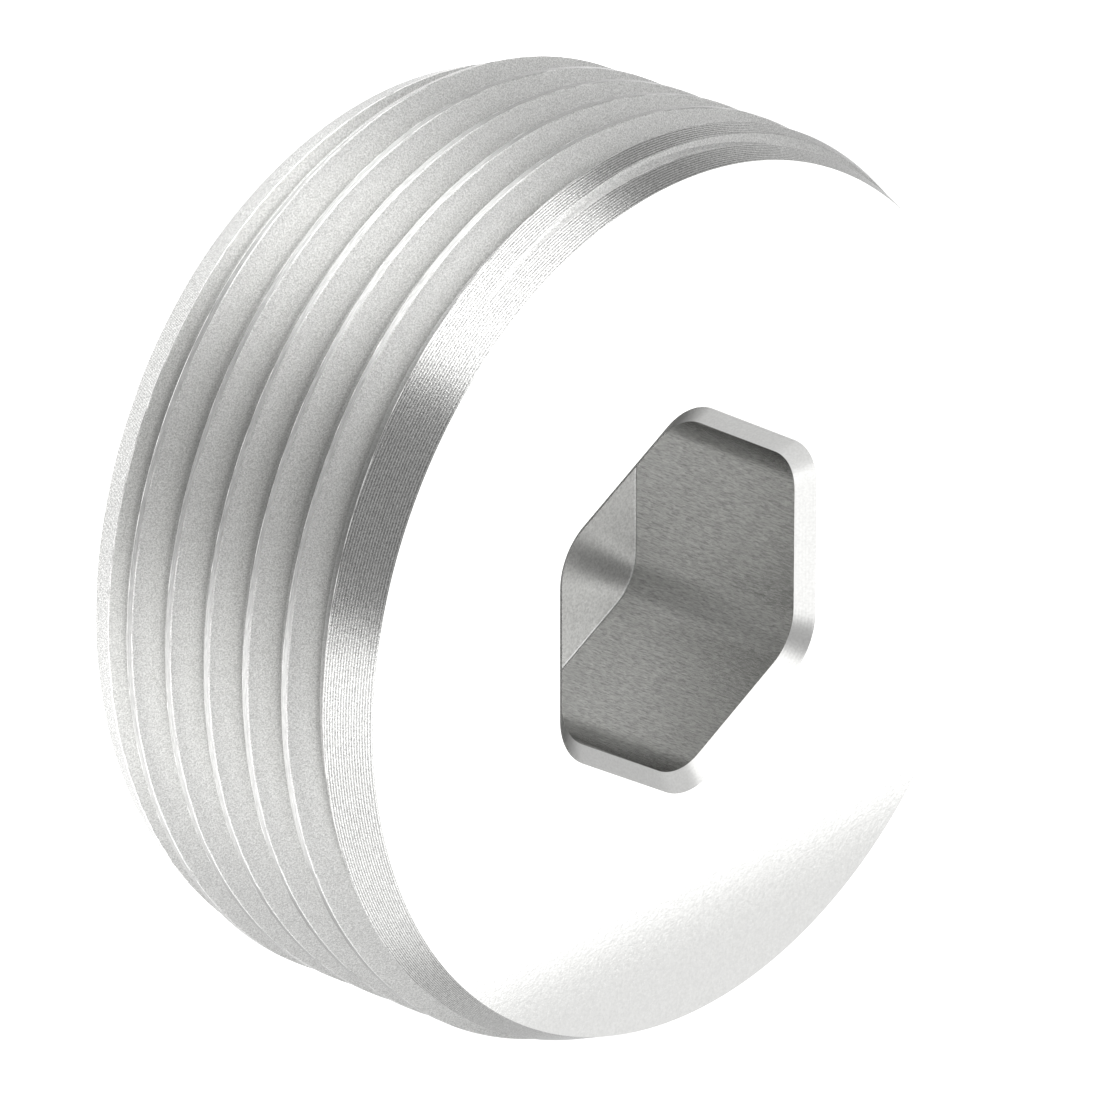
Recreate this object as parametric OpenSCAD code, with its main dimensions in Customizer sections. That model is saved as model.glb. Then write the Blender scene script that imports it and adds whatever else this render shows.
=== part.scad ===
// Headless screw plug with a hexagon socket, turned from one piece of stainless steel.
// It stands on its back face: the origin is the middle of that face, +Z runs along the
// axis and out of the socket, and +X is square to one flat of the hexagon.

/* [Body] */
// Diameter over the crests of the thread
thread_d = 36; // [32:0.5:48]
// Length from the back face to the front face
body_l = 14.5; // [12.5:0.5:24]

/* [Front chamfer] */
// How much the front chamfer takes off the radius
front_chamfer_r = 1; // [0.5:0.1:1.4]
// Length of the front chamfer along the axis
front_chamfer_l = 2.6; // [1.5:0.1:3.2]

/* [Back chamfer] */
// How much the back chamfer takes off the radius
back_chamfer_r = 1; // [0.5:0.1:1.4]
// Length of the back chamfer along the axis
back_chamfer_l = 2.6; // [1.5:0.1:3.2]

/* [Thread] */
// Distance from one turn of the thread to the next
pitch = 2; // [1.5:0.25:3]
// Angle between the two flanks of the groove
flank_angle = 60; // [50:1:65]
// Width of the flat crest
crest_w = 0.25; // [0.2:0.05:0.4]
// Width of the flat at the root
root_w = 0.3; // [0.2:0.05:0.4]
// Distance below the front face at which the groove ends
groove_end_z = 0.86; // [0.5:0.02:2]
// Direction in which the groove ends, counted from +X towards +Y
groove_end_angle = 123.6; // [0:0.2:359]
// Angle over which the groove gets shallower before it ends
run_out_angle = 86; // [20:1:120]
// How far the groove has fallen behind its helix by its end, because the tool slows down
run_out_lag = 0.35; // [0:0.01:0.5]
// How the root rises along the run-out: 1 is evenly, less is steeper near the groove's end
run_out_ease = 0.7; // [0.5:0.05:1]

/* [Socket] */
// Width of the hexagon across its flats
socket_af = 12.75; // [10:0.05:17]
// Depth of the hexagon's flat floor below the front face
socket_depth = 8.7; // [5:0.1:10]
// Radius of the hexagon's corners
socket_corner_r = 2.1; // [0.4:0.1:2.8]
// Width of the chamfer around the mouth, square to the axis
mouth_w = 0.66; // [0.2:0.02:1.2]
// Depth of the chamfer around the mouth, along the axis
mouth_depth = 0.52; // [0.2:0.02:1.2]

/* [Hidden] */

// How far a cutting shape stands out of the face that it cuts
overrun = 0.2;
// Smoothness of the turned surfaces and of the hexagon's corners
turned_fn = 144;
corner_fn = 48;

thread_r = thread_d / 2;

// The groove's straight steps: how many to a turn, and how far each one turns
steps_per_turn = 72;
step_angle = 360 / steps_per_turn;

// The groove reaches past the crests by this much, but stays clear of its next turn
groove_over = crest_w / 4 / tan(flank_angle / 2);
groove_depth = ((pitch - crest_w) - root_w) / 2 / tan(flank_angle / 2);
root_r = thread_r - groove_depth;
groove_outer_r = thread_r + groove_over;

// Radius of the front chamfer's cone where the groove ends, and what is left of the depth there
end_cone_r = thread_r - front_chamfer_r
    + (groove_end_z + run_out_lag + root_w / 2) * front_chamfer_r / front_chamfer_l;
end_lift = max(0, end_cone_r - root_r);

// The groove's shape goes on past its end by half a step, so that its last section is clear
// of the cone, and it starts a little way behind the back face
tail_angle = step_angle / 2;
groove_turns = (body_l - groove_end_z + pitch / 2 + overrun) / pitch;
groove_steps = ceil(groove_turns * steps_per_turn);

// Points of the groove's section at one step, the same way round at each one
section_count = 4;

hex_sides = 6;
hex_turn = 360 / hex_sides;

function polar(r, a) = [r * cos(a), r * sin(a)];

// Share of the run-out that lies behind the tool at angle a, counted back from the groove's end
function run_out_share(a) = max(0, 1 - a / run_out_angle);

// How far the root has risen at angle a, and how far the groove is behind its helix there
function root_lift(a) = end_lift * pow(run_out_share(a), run_out_ease);
function root_lag(a) = run_out_lag * pow(run_out_share(a), 2);

// Half the groove's width at radius r, for a root that has risen by lift
function half_width(r, lift) = root_w / 2 + (r - root_r - lift) * tan(flank_angle / 2);

// The section as pairs of a radius and a height above the groove's middle
function groove_section(lift) =
    let (outer_w = half_width(groove_outer_r, lift))
    [
        [root_r + lift, -root_w / 2],
        [groove_outer_r, -outer_w],
        [groove_outer_r, outer_w],
        [root_r + lift, root_w / 2]
    ];

function groove_points() = [
    for (i = [0 : groove_steps])
        let (
            back = (groove_steps - i) * step_angle - tail_angle,
            a = groove_end_angle - back,
            z = body_l - groove_end_z - pitch * back / 360 - root_lag(back)
        )
        for (p = groove_section(root_lift(back)))
            [p[0] * cos(a), p[0] * sin(a), z + p[1]]
];

function groove_faces() = concat(
    [[for (k = [section_count - 1 : -1 : 0]) k]],
    [for (i = [0 : groove_steps - 1], k = [0 : section_count - 1])
        let (
            a = i * section_count + k,
            b = i * section_count + (k + 1) % section_count
        )
        each [[a, b, a + section_count], [a + section_count, b, b + section_count]]
    ],
    [[for (k = [0 : section_count - 1]) groove_steps * section_count + k]]
);

// Centre of the rounding in one corner of the hexagon
function corner_centre(i) =
    polar((socket_af / 2 - socket_corner_r) / cos(hex_turn / 2), (i + 0.5) * hex_turn);

// Where the flats of the hexagon meet its rounded corners, for corners of radius r
function tangent_points(r) = [
    for (i = [0 : hex_sides - 1], side = [0, 1])
        corner_centre(i) + polar(r, (i + side) * hex_turn)
];

module rounded_hexagon() {
    polygon(tangent_points(socket_corner_r));
    for (i = [0 : hex_sides - 1])
        translate(corner_centre(i))
            circle(socket_corner_r, $fn = corner_fn);
}

// The chamfer around the mouth: a plane along each flat and a cone in each corner
module mouth() {
    top_z = mouth_depth + overrun;
    top_r = socket_corner_r + mouth_w * top_z / mouth_depth;
    low = [for (p = tangent_points(socket_corner_r)) [p[0], p[1], 0]];
    high = [for (p = tangent_points(top_r)) [p[0], p[1], top_z]];
    n = len(low);
    polyhedron(
        points = concat(low, high),
        faces = concat(
            [[for (k = [0 : n - 1]) k]],
            [for (k = [0 : n - 1]) [(k + 1) % n, k, k + n, (k + 1) % n + n]],
            [[for (k = [n - 1 : -1 : 0]) k + n]]
        )
    );
    for (i = [0 : hex_sides - 1])
        translate(corner_centre(i))
            cylinder(h = top_z, r1 = socket_corner_r, r2 = top_r, $fn = corner_fn);
}

module socket() {
    translate([0, 0, body_l - socket_depth])
        linear_extrude(socket_depth + overrun)
            rounded_hexagon();
    translate([0, 0, body_l - mouth_depth])
        mouth();
}

// The turned body before its thread is cut, with both chamfers
module blank() {
    rotate_extrude($fn = turned_fn)
        polygon([
            [0, 0],
            [thread_r - back_chamfer_r, 0],
            [thread_r, back_chamfer_l],
            [thread_r, body_l - front_chamfer_l],
            [thread_r - front_chamfer_r, body_l],
            [0, body_l]
        ]);
}

// The helical groove between the turns of the thread, right-handed
module thread_groove() {
    polyhedron(points = groove_points(), faces = groove_faces(), convexity = 10);
}

module plug() {
    color([0.76, 0.76, 0.75])
        difference() {
            blank();
            thread_groove();
            socket();
        }
}

plug();
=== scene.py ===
import math

import bmesh
import bpy
import numpy as np
from mathutils import Matrix, Quaternion, Vector


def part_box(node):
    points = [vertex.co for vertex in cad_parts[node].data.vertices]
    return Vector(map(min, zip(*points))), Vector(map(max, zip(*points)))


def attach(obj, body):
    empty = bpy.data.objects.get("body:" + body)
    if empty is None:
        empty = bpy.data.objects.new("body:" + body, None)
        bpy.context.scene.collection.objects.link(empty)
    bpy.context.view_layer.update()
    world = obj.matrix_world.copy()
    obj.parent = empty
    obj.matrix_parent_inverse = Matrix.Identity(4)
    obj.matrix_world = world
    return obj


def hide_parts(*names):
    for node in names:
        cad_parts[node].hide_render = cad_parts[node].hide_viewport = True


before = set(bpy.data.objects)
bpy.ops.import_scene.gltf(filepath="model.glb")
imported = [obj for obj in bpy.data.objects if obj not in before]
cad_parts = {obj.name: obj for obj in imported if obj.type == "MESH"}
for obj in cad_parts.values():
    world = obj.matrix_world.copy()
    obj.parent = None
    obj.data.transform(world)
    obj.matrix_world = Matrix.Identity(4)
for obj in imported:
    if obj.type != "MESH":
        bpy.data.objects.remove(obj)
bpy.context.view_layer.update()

MM = 0.001

# The body, from the frame, with the origin in the middle of the back face
low_corner, high_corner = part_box("plug")
THREAD_R = (high_corner.x - low_corner.x) / 2 / MM
BODY_L = (high_corner.z - low_corner.z) / MM

# Chamfers at the two ends: what each takes off the radius, and its length along the axis
CHAMFER_R = 1.0
CHAMFER_L = 2.6
CHAMFER_ANGLE = math.atan(CHAMFER_R / CHAMFER_L)

# Thread: the groove is a V with a rounded root
PITCH = 2.0
FLANK_ANGLE = math.radians(30)
ROOT_ROUND = 0.26
GROOVE_DEPTH = 1.225

# Turns of the groove, counted from its end, until it is clear of the back face
TURNS = int(math.ceil((BODY_L + PITCH) / PITCH)) + 1

# The crests' edges: how far they are broken, by how much they wander and over how many degrees, and
# how many breaks wide the groove is where both have faded in. The table has a row for each edge.
EDGE_BREAK = 0.032
EDGE_FADE = 4
RAGGED = 0.006
RAGGED_STEP = 1.2
RAGGED_TABLE = np.random.default_rng(7).normal(0, 1, (2, int(TURNS * 360 / RAGGED_STEP) + 2))

# The V's tangent to its round root: half its width there, and its height over the root
TANGENT_W = ROOT_ROUND * math.cos(FLANK_ANGLE)
TANGENT_H = ROOT_ROUND * (1 - math.sin(FLANK_ANGLE))

# Where the groove gets its points, as shares of the half width of its round root: at both edges, along
# the round, and close outside it, so that the flat flanks keep their own shading
ROOT_SHARES = (-9, -1.2, -1, -0.5, 0, 0.5, 1, 1.2, 9)

# Where the groove ends in the front chamfer, and how it gets shallower before that: the angle from its
# end, and the share of its depth that is left there
END_BELOW_FACE = 0.86
END_ANGLE = 123.6
RUN_OUT = ((0.0, 0.0), (8.5, 0.015), (15.0, 0.06), (27.0, 0.2), (46.0, 0.38), (58.0, 0.56), (86.0, 1.0))
END_LAG = 0.24

# Hexagon socket
SOCKET_AF = 12.75
SOCKET_DEPTH = 8.7
CORNER_R = 2.2
MOUTH_W = 0.66
MOUTH_CORNER_R = 2.5
MOUTH_DEPTH = 0.52
FLOOR_ROUND = 0.07

# How finely the mesh is cut, how its groove's edges are searched, how near points are joined, and from
# how many degrees an edge is sharp
COLUMNS = 720
CORNER_STEPS = 14
FLAT_STEPS = 6
ROUND_STEPS = 4
HALVINGS = 40
REACH = 0.7 * PITCH
MERGE = 0.0002
SHARP_ANGLE = 12.0

# Distance between the turning marks of the chamfers and of the socket's mouth
CHAMFER_RING = 0.1
MOUTH_RING = 0.08

# Painted shade at the groove's root, where the flanks' colour is made darker to stand in for shade: how
# dark it is there, and how far up this reaches
ROOT_PAINTED_SHADE = 0.35
ROOT_PAINTED_SHADE_REACH = 0.32

# Between these values lies most of a noise
NOISE_LOW, NOISE_HIGH = 0.36, 0.64

# The kinds of surface, each with a finish of its own; the back chamfer's finish is a lighter copy of the
# chamfer's steel, a painted highlight
SURFACES = ("flank", "crest", "chamfer", "face", "mouth", "wall", "floor", "back")


def blank_radius(z):
    """Radius of the turned body at height z, before the thread is cut."""
    back = THREAD_R - CHAMFER_R * (1 - z / CHAMFER_L)
    front = THREAD_R - CHAMFER_R * (1 - (BODY_L - z) / CHAMFER_L)
    return np.minimum(np.minimum(back, front), THREAD_R)


def groove_rise(w):
    """Height of the groove's surface over its root, at a distance w along the axis from its middle."""
    w = np.abs(w)
    inside = np.minimum(w, TANGENT_W)
    curved = ROOT_ROUND - np.sqrt(ROOT_ROUND ** 2 - inside ** 2)
    return np.where(w < TANGENT_W, curved, TANGENT_H + (w - TANGENT_W) / math.tan(FLANK_ANGLE))


def groove_at(back):
    """Middle height and root radius of the groove, at an angle back from its end."""
    reach, share = zip(*RUN_OUT)
    left = np.interp(back, reach, share)
    lag = END_LAG * np.clip(1 - back / reach[-1], 0, 1)
    middle = BODY_L - END_BELOW_FACE - PITCH * back / 360 - lag
    deepest = THREAD_R - GROOVE_DEPTH
    closed = blank_radius(middle) + ROOT_ROUND * (1 / math.cos(CHAMFER_ANGLE) - 1)
    root = np.where(back < reach[-1], deepest + (1 - left) * (closed - deepest), deepest)
    return middle, root


def groove_low_point(middle):
    """Height of the groove's point that lies deepest under the turned body: past its middle on a cone."""
    lean = ROOT_ROUND * math.sin(CHAMFER_ANGLE)
    on_front, on_back = middle > BODY_L - CHAMFER_L, middle < CHAMFER_L
    return middle - lean * on_front + lean * on_back


def groove_edge(middle, root, side):
    """Height at which the groove meets the turned body, on one side of its lowest point."""
    start = groove_low_point(middle)
    near = np.zeros_like(middle)
    far = np.full_like(middle, REACH)
    for _ in range(HALVINGS):
        w = (near + far) / 2
        z = start + side * w
        inside = root + groove_rise(z - middle) < blank_radius(z)
        near = np.where(inside, w, near)
        far = np.where(inside, far, w)
    return start + side * near


def ragged(back, side):
    """A small irregular shift of the crest's edge, the same wherever a turn is met again."""
    row = RAGGED_TABLE[(side + 1) // 2]
    return RAGGED * np.interp(back / RAGGED_STEP, np.arange(len(row)), row)


def outline_columns():
    """The rows of the turned outside, from the back rim to the front rim, one value for each column.

    Returns the angles, the rows as pairs of radius and height, and the surface that follows each row.
    """
    angles = END_ANGLE - 360 + np.arange(COLUMNS + 1) * (360 / COLUMNS)
    back_corner, front_corner = CHAMFER_L, BODY_L - CHAMFER_L
    close_z = groove_low_point(groove_at(np.zeros(1))[0])[0]
    rows, surfaces = [], []

    def add(r, z, surface):
        rows.append([r, z])
        surfaces.append(surface)

    grooves = []
    for k in range(TURNS - 1, -1, -1):
        back = END_ANGLE - angles + 360 * k
        middle, root = groove_at(back)
        low = groove_edge(middle, root, -1)
        high = groove_edge(middle, root, 1)
        open_w = high - low
        fade = np.clip(open_w / (EDGE_FADE * EDGE_BREAK), 0, 1)
        low = low + ragged(back, -1) * fade
        high = high + ragged(back, 1) * fade
        grooves.append((middle, root, low, high, EDGE_BREAK * fade))

    start = np.zeros_like(angles)
    add(blank_radius(start), start, "back")
    before = start
    for middle, root, low, high, edge in grooves:
        land_end = np.maximum(low - edge, before)
        for z, surface in (
            (np.clip(back_corner, before, land_end), "crest"),
            (np.clip(front_corner, before, land_end), "chamfer"),
            (np.clip(close_z, before, land_end), "chamfer"),
            (land_end, "edge"),
        ):
            add(blank_radius(z), z, surface)
        flank_low = low + edge * 0.5
        flank_high = high - edge * 0.5
        for share in ROOT_SHARES:
            z = np.clip(middle + TANGENT_W * share, flank_low, flank_high)
            surface = "edge" if share == ROOT_SHARES[-1] else "flank"
            add(np.minimum(root + groove_rise(z - middle), blank_radius(z)), z, surface)
        before = high + edge
        add(blank_radius(before), before, "chamfer")
    for z in (
        np.maximum(front_corner, before),
        np.maximum(close_z, before),
        np.full_like(start, BODY_L),
    ):
        add(blank_radius(z), z, "chamfer")
    return angles, np.array(rows), surfaces


def cut_at_back(rows):
    """Brings every point behind the back face to the rim, where the outline crosses that face."""
    r, z = rows[:, 0], rows[:, 1]
    behind = z < 0
    for c in range(r.shape[1]):
        hidden = np.flatnonzero(behind[:, c])
        if not len(hidden):
            continue
        last = hidden[-1]
        share = -z[last, c] / (z[last + 1, c] - z[last, c])
        rim = r[last, c] + share * (r[last + 1, c] - r[last, c])
        r[: last + 1, c] = rim
        z[: last + 1, c] = 0
    return rows


def hexagon_loop(grow, radius, z):
    """Points of the socket's outline, moved out by grow, at height z: round corners and flats."""
    centre = (SOCKET_AF / 2 + grow - radius) / math.cos(math.radians(30))
    points = []
    for i in range(6):
        middle = math.radians(60 * i + 30)
        cx, cy = centre * math.cos(middle), centre * math.sin(middle)
        for s in range(CORNER_STEPS + 1):
            a = middle + math.radians(60 * s / CORNER_STEPS - 30)
            points.append((cx + radius * math.cos(a), cy + radius * math.sin(a), z))
        following = math.radians(60 * i + 90)
        nx, ny = centre * math.cos(following), centre * math.sin(following)
        a = middle + math.radians(30)
        for s in range(1, FLAT_STEPS):
            t = s / FLAT_STEPS
            points.append((
                cx + (nx - cx) * t + radius * math.cos(a),
                cy + (ny - cy) * t + radius * math.sin(a),
                z,
            ))
    return points


class Mesh:
    """Vertices and faces of the plug as they are added, with a surface name for each face."""

    def __init__(self):
        self.vertices = []
        self.faces = []
        self.surfaces = []

    def loop(self, points):
        first = len(self.vertices)
        self.vertices.extend(points)
        return list(range(first, first + len(points)))

    def face(self, corners, surface):
        self.faces.append(tuple(corners))
        self.surfaces.append(surface)

    def strip(self, lower, upper, surface):
        """Faces between two loops with the same number of points."""
        n = len(lower)
        for i in range(n):
            j = (i + 1) % n
            self.face((lower[i], lower[j], upper[j], upper[i]), surface)

    def ring(self, outer, inner, surface):
        """Flat triangles between an outer and an inner loop, each in order round the axis."""
        def turn(i):
            x, y, _ = self.vertices[i]
            return math.atan2(y, x) % (2 * math.pi)

        outer = sorted(outer, key=turn)
        inner = sorted(inner, key=turn)
        a, b = 0, 0
        while a < len(outer) or b < len(inner):
            o, i = outer[a % len(outer)], inner[b % len(inner)]
            next_o, next_i = outer[(a + 1) % len(outer)], inner[(b + 1) % len(inner)]
            angle_o = turn(next_o) + (2 * math.pi if a + 1 >= len(outer) else 0)
            angle_i = turn(next_i) + (2 * math.pi if b + 1 >= len(inner) else 0)
            if b >= len(inner) or (a < len(outer) and angle_o <= angle_i):
                self.face((o, next_o, i), surface)
                a += 1
            else:
                self.face((o, next_i, i), surface)
                b += 1


def add_outside(mesh):
    """The turned outside with its thread; returns the back rim and the front rim."""
    angles, rows, surfaces = outline_columns()
    rows = cut_at_back(rows)
    cos, sin = np.cos(np.radians(angles)), np.sin(np.radians(angles))
    loops = []
    for r, z in rows:
        loops.append(mesh.loop([tuple(p) for p in np.stack([r * cos, r * sin, z], axis=1)]))
    for i, surface in enumerate(surfaces[:-1]):
        lower, upper = loops[i], loops[i + 1]
        for c in range(COLUMNS):
            mesh.face((lower[c], lower[c + 1], upper[c + 1], upper[c]), surface)
    return loops[0][:-1], loops[-1][:-1]


def add_socket(mesh, front_rim):
    """The front face, the socket's mouth, its walls and its floor."""
    floor_z = BODY_L - SOCKET_DEPTH
    mouth = mesh.loop(hexagon_loop(MOUTH_W, MOUTH_CORNER_R, BODY_L))
    mesh.ring(front_rim, mouth, "face")
    above = mouth
    levels = [(0.0, BODY_L - MOUTH_DEPTH, "mouth"), (0.0, floor_z + FLOOR_ROUND, "wall")]
    for s in range(1, ROUND_STEPS + 1):
        a = math.radians(90 * s / ROUND_STEPS)
        inward, rise = FLOOR_ROUND * (1 - math.cos(a)), FLOOR_ROUND * (1 - math.sin(a))
        levels.append((-inward, floor_z + rise, "floor"))
    for grow, z, surface in levels:
        below = mesh.loop(hexagon_loop(grow, CORNER_R + grow, z))
        mesh.strip(below, above, surface)
        above = below
    mesh.face(above, "floor")


def build_plug(materials):
    """The plug as one closed mesh, with a material slot for each kind of surface."""
    mesh = Mesh()
    back_rim, front_rim = add_outside(mesh)
    add_socket(mesh, front_rim)
    centre = mesh.loop([(0.0, 0.0, 0.0)])[0]
    for i, v in enumerate(back_rim):
        mesh.face((back_rim[(i + 1) % len(back_rim)], v, centre), "face")

    data = bpy.data.meshes.new("screw_plug")
    data.from_pydata([Vector(v) * MM for v in mesh.vertices], [], mesh.faces)
    slots = {name: i for i, name in enumerate(SURFACES)}
    # The crests' broken edges are finished as the flanks are
    slots["edge"] = slots["flank"]
    for name in SURFACES:
        data.materials.append(materials[name])
    data.polygons.foreach_set("material_index", [slots[s] for s in mesh.surfaces])
    merge_points(data)
    data.polygons.foreach_set("use_smooth", [True] * len(data.polygons))
    piece = bpy.data.objects.new("screw_plug", data)
    bpy.context.scene.collection.objects.link(piece)
    return piece


def merge_points(data):
    """Joins points that lie on each other, drops faces without area, and makes the plug's edges sharp."""
    bm = bmesh.new()
    bm.from_mesh(data)
    bmesh.ops.remove_doubles(bm, verts=bm.verts, dist=MERGE * MM)
    bmesh.ops.recalc_face_normals(bm, faces=bm.faces)
    for edge in bm.edges:
        first, second = edge.link_faces
        bent = edge.calc_face_angle(0.0) > math.radians(SHARP_ANGLE)
        edge.smooth = not bent and first.material_index == second.material_index
    bm.to_mesh(data)
    bm.free()


class Finish:
    """A steel material whose pattern is worked out from the place on the plug, with its nodes.

    Where the surface is seen at a low angle, it reflects the share edge of what clean steel would.
    """

    def __init__(self, name, roughness, dark, light, edge=1.0):
        self.material = bpy.data.materials.new(name)
        self.material.use_nodes = True
        self.tree = self.material.node_tree
        self.shader = self.tree.nodes["Principled BSDF"]
        self.shader.inputs["Metallic"].default_value = 1.0
        self.shader.inputs["Roughness"].default_value = roughness
        self.shader.inputs["Specular Tint"].default_value = (edge, edge, edge, 1)
        self.dark, self.light = dark, light
        self.place = self.tree.nodes.new("ShaderNodeTexCoord").outputs["Object"]
        self.normal = None

    def put(self, kind, values, **settings):
        """Adds a node, sets its properties and fills or links its inputs in order."""
        node = self.tree.nodes.new(kind)
        for key, value in settings.items():
            setattr(node, key, value)
        for socket, value in zip(node.inputs, values):
            if isinstance(value, bpy.types.NodeSocket):
                self.tree.links.new(value, socket)
            elif value is not None:
                socket.default_value = value
        return node.outputs[0]

    def math(self, operation, first, second=None):
        return self.put("ShaderNodeMath", (first, second), operation=operation)

    def noise(self, grain, detail=2.0, rough=0.5, warp=0.0):
        """Noise with grains of the given sizes along X, Y and Z, in millimetres."""
        scale = [1 / (size * MM) for size in grain]
        stretched = self.put("ShaderNodeVectorMath", (self.place, scale), operation="MULTIPLY")
        node = self.tree.nodes.new("ShaderNodeTexNoise")
        self.tree.links.new(stretched, node.inputs["Vector"])
        node.inputs["Scale"].default_value = 1.0
        node.inputs["Detail"].default_value = detail
        node.inputs["Roughness"].default_value = rough
        node.inputs["Distortion"].default_value = warp
        return node.outputs["Fac"]

    def split(self):
        node = self.tree.nodes.new("ShaderNodeSeparateXYZ")
        self.tree.links.new(self.place, node.inputs[0])
        return node.outputs

    def radius(self):
        """Distance from the axis, in metres."""
        x, y, _ = self.split()
        return self.math("SQRT", self.math("ADD", self.math("MULTIPLY", x, x), self.math("MULTIPLY", y, y)))

    def spread(self, share, low, high):
        """Stretches the middle of a noise to go from low to high."""
        return self.put("ShaderNodeMapRange", (share, NOISE_LOW, NOISE_HIGH, low, high))

    def rings(self, pitch):
        """Height of turning marks: one round hollow for each turn of the tool, from 0 to 1."""
        x, y, z = self.split()
        turn = self.math("DIVIDE", self.math("ARCTAN2", y, x), 2 * math.pi)
        phase = self.math("ADD", self.math("DIVIDE", z, pitch * MM), turn)
        hollow = self.math("SUBTRACT", self.math("FRACT", phase), 0.5)
        return self.math("MULTIPLY", self.math("MULTIPLY", hollow, hollow), 4.0)

    def bump(self, height, depth):
        """Raises the surface by the height times a depth in millimetres."""
        node = self.tree.nodes.new("ShaderNodeBump")
        node.inputs["Strength"].default_value = 1.0
        node.inputs["Distance"].default_value = depth * MM
        self.tree.links.new(height, node.inputs["Height"])
        if self.normal:
            self.tree.links.new(self.normal, node.inputs["Normal"])
        self.normal = node.outputs["Normal"]
        self.tree.links.new(self.normal, self.shader.inputs["Normal"])

    def colour(self, share, low=0.3, high=0.7):
        """Blends from dark to light as share goes from low to high."""
        ramp = self.tree.nodes.new("ShaderNodeValToRGB")
        ramp.color_ramp.elements[0].position = low
        ramp.color_ramp.elements[0].color = (*self.dark, 1)
        ramp.color_ramp.elements[1].position = high
        ramp.color_ramp.elements[1].color = (*self.light, 1)
        self.tree.links.new(share, ramp.inputs["Fac"])
        self.tree.links.new(ramp.outputs["Color"], self.shader.inputs["Base Color"])


def steel(brightness):
    """Colour of bare stainless steel, very slightly warm."""
    return (brightness, brightness, brightness * 0.985)


def flank_finish():
    finish = Finish("steel_flank", 0.34, steel(0.2), steel(0.76))
    grain = finish.noise((0.06, 0.06, 0.06), 2.0, 0.85)
    root = (THREAD_R - GROOVE_DEPTH) * MM
    # Painted shade: the flank's colour darkens towards the groove's root, where shade falls
    reach = (root, root + ROOT_PAINTED_SHADE_REACH * MM, ROOT_PAINTED_SHADE, 1.0)
    painted_shade = finish.put("ShaderNodeMapRange", (finish.radius(), *reach))
    finish.colour(finish.math("MULTIPLY", painted_shade, finish.spread(grain, 0.44, 1.0)), 0.0, 1.0)
    finish.bump(grain, 0.012)
    return finish.material


def crest_finish():
    finish = Finish("steel_crest", 0.22, steel(0.28), steel(0.42), 0.8)
    streaks = finish.noise((0.5, 0.5, 0.05), 3.0, 0.65)
    finish.colour(streaks)
    finish.bump(streaks, 0.003)
    return finish.material


def chamfer_finish():
    finish = Finish("steel_chamfer", 0.23, steel(0.24), steel(0.82), 0.6)
    rings = finish.rings(CHAMFER_RING)
    grain = finish.noise((0.06, 0.06, 0.05), 2.0, 0.65)
    marks = finish.math("MULTIPLY", rings, 0.7)
    finish.colour(finish.math("ADD", marks, finish.spread(grain, -0.1, 0.45)), 0.0, 1.0)
    finish.bump(rings, 0.0015)
    finish.bump(grain, 0.005)
    return finish.material


def face_finish():
    finish = Finish("steel_face", 0.02, steel(0.54), steel(0.62))
    grain = finish.noise((0.13, 0.13, 0.13), 3.0, 0.75)
    finish.colour(grain)
    finish.bump(grain, 0.0005)
    return finish.material


# Painted highlight: the back chamfer gets a far lighter steel than the front chamfer, to stand in for the
# bright light it reflects
def back_painted_highlight_finish():
    finish = Finish("steel_back_painted_highlight", 0.22, steel(0.88), steel(0.98))
    finish.colour(finish.noise((0.5, 0.5, 0.05), 2.0, 0.6))
    finish.bump(finish.rings(CHAMFER_RING), 0.0006)
    return finish.material


def mouth_finish():
    finish = Finish("steel_mouth", 0.28, steel(0.64), steel(0.74))
    finish.colour(finish.noise((0.1, 0.1, 0.1), 2.0, 0.6))
    finish.bump(finish.rings(MOUTH_RING), 0.001)
    return finish.material


def wall_finish():
    finish = Finish("steel_wall", 0.24, steel(0.36), steel(0.8))
    streaks = finish.noise((0.05, 0.05, 0.3), 3.0, 0.7, 0.5)
    finish.colour(streaks)
    finish.bump(streaks, 0.006)
    return finish.material


def floor_finish():
    finish = Finish("steel_floor", 0.28, steel(0.52), steel(0.74))
    grain = finish.noise((0.09, 0.09, 0.09), 2.0, 0.6)
    finish.colour(grain)
    finish.bump(grain, 0.004)
    return finish.material


materials = {
    "flank": flank_finish(),
    "crest": crest_finish(),
    "chamfer": chamfer_finish(),
    "back": back_painted_highlight_finish(),
    "face": face_finish(),
    "mouth": mouth_finish(),
    "wall": wall_finish(),
    "floor": floor_finish(),
}

plug = build_plug(materials)
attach(plug, "root")
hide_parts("plug")


# Camera, as the photograph was taken: the direction it looks from, counted from +X and up from the
# floor, its roll about its own line of sight, and where the middle of the front face lies before it
VIEW_AZIMUTH = math.radians(149.858)
VIEW_ELEVATION = math.radians(39.247)
VIEW_ROLL = math.radians(-110.178)
FACE_RIGHT = 5.275
FACE_DOWN = 1.986
FACE_AWAY = 495.23
PHOTO_SIDE = 1096
FOCAL_PIXELS = 13263.3
SENSOR = 36.0


def add_camera():
    data = bpy.data.cameras.new("camera")
    data.sensor_width = SENSOR
    data.lens = FOCAL_PIXELS * SENSOR / PHOTO_SIDE
    camera = bpy.data.objects.new("camera", data)
    away = -Vector((
        math.cos(VIEW_ELEVATION) * math.cos(VIEW_AZIMUTH),
        math.cos(VIEW_ELEVATION) * math.sin(VIEW_AZIMUTH),
        math.sin(VIEW_ELEVATION),
    ))
    level_right = away.cross(Vector((0, 0, 1))).normalized()
    level_up = level_right.cross(away)
    up = level_up * math.cos(VIEW_ROLL) + level_right * math.sin(VIEW_ROLL)
    right = away.cross(up)
    face = Vector((0, 0, BODY_L))
    place = face - right * FACE_RIGHT + up * FACE_DOWN - away * FACE_AWAY
    axes = Matrix((right, up, -away)).transposed()
    camera.matrix_world = Matrix.Translation(place * MM) @ axes.to_4x4()
    bpy.context.scene.collection.objects.link(camera)
    bpy.context.scene.camera = camera


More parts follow.
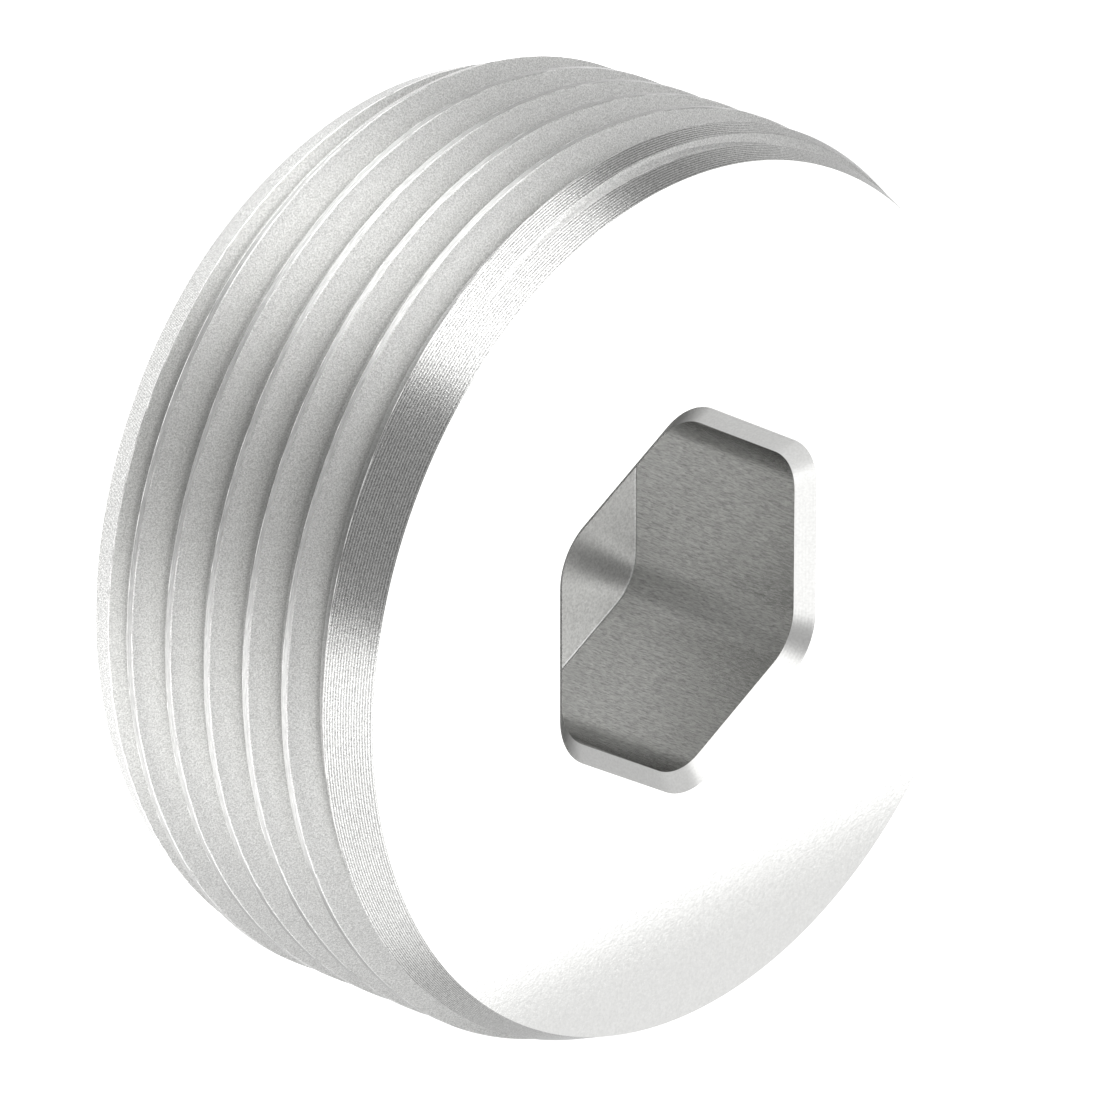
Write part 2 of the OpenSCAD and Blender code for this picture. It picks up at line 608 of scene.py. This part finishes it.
# Softboxes round the plug: direction, elevation, distance, width and height in metres, turn about
# their own middle, and radiance
SOFTBOXES = (
    ("left", 88, 45, 0.5, 0.44, 0.44, 0, 1.3),
    ("left_low", 96, 9, 0.5, 0.50, 0.16, 0, 3.0),
    ("right", 218, 43, 0.5, 0.44, 0.38, 0, 1.1),
    ("right_low", 220, 9, 0.5, 0.76, 0.16, 0, 2.4),
    ("behind", 332, 40, 0.5, 0.40, 0.40, 0, 0.85),
    ("behind_high", 345, 49.7, 0.5, 0.30, 0.30, 36, 1.0),
    ("far_left", 18, 32, 0.5, 0.38, 0.42, 0, 0.35),
    ("far_right", 276, 32, 0.5, 0.42, 0.42, 0, 0.5),
)
WORLD_LIGHT = 0.46

# The floor is a pale sheet that glows in round pools, light painted into its own material with no lamp
# beneath: the middle of each one, the distances from there between which it fades, in metres, and how
# bright it is
FLOOR_WHITE = 0.4
POOLS = (
    ("middle", 0.008, -0.005, 0.044, 0.060, 0.72),
    ("under", 0.0, 0.0, 0.0185, 0.021, 0.75),
    ("to_left", -0.010, 0.029, 0.006, 0.016, 1.7),
    ("to_right", -0.028, -0.010, 0.006, 0.018, 1.4),
    ("off_right", -0.040, -0.060, 0.015, 0.035, 1.0),
)


def add_softbox(name, azimuth, elevation, distance, width, height, tilt, radiance):
    """A plain rectangle of light that faces the plug."""
    data = bpy.data.lights.new(name, "AREA")
    data.shape = "RECTANGLE"
    data.size = width
    data.size_y = height
    data.energy = radiance * math.pi * width * height
    lamp = bpy.data.objects.new(name, data)
    turn, rise = math.radians(azimuth), math.radians(elevation)
    away = Vector((math.cos(rise) * math.cos(turn), math.cos(rise) * math.sin(turn), math.sin(rise)))
    lamp.location = away * distance
    facing = away.to_track_quat("Z", "Y") @ Quaternion((0, 0, 1), math.radians(tilt))
    lamp.rotation_euler = facing.to_euler()
    bpy.context.scene.collection.objects.link(lamp)


def pool(tree, place, name, x, y, near, far, strength):
    """The light of one pool in the floor: full up to the distance near, and none from far on."""
    offset = tree.nodes.new("ShaderNodeVectorMath")
    offset.operation = "DISTANCE"
    tree.links.new(place, offset.inputs[0])
    offset.inputs[1].default_value = (x, y, 0)
    fall = tree.nodes.new("ShaderNodeMapRange")
    fall.name = name
    fall.interpolation_type = "SMOOTHSTEP"
    fall.inputs["From Min"].default_value = near
    fall.inputs["From Max"].default_value = far
    fall.inputs["To Min"].default_value = strength
    fall.inputs["To Max"].default_value = 0.0
    tree.links.new(offset.outputs["Value"], fall.inputs["Value"])
    return fall.outputs["Result"]


def add_floor():
    bpy.ops.mesh.primitive_plane_add(size=2.0)
    floor = bpy.context.object
    floor.name = "floor"
    material = bpy.data.materials.new("pale_floor")
    material.use_nodes = True
    tree = material.node_tree
    shader = tree.nodes["Principled BSDF"]
    shader.inputs["Base Color"].default_value = (FLOOR_WHITE, FLOOR_WHITE, FLOOR_WHITE, 1)
    shader.inputs["Roughness"].default_value = 0.3
    shader.inputs["Emission Color"].default_value = (1, 1, 1, 1)
    place = tree.nodes.new("ShaderNodeTexCoord").outputs["Object"]
    glow = None
    for values in POOLS:
        light = pool(tree, place, *values)
        if glow:
            both = tree.nodes.new("ShaderNodeMath")
            tree.links.new(glow, both.inputs[0])
            tree.links.new(light, both.inputs[1])
            light = both.outputs[0]
        glow = light
    tree.links.new(glow, shader.inputs["Emission Strength"])
    floor.data.materials.append(material)


def add_world():
    world = bpy.data.worlds.new("studio")
    bpy.context.scene.world = world
    world.use_nodes = True
    background = world.node_tree.nodes["Background"]
    background.inputs["Color"].default_value = (1, 1, 1, 1)
    background.inputs["Strength"].default_value = WORLD_LIGHT


add_camera()
add_floor()
add_world()
for softbox in SOFTBOXES:
    add_softbox(*softbox)
bpy.context.scene.view_settings.view_transform = "Standard"
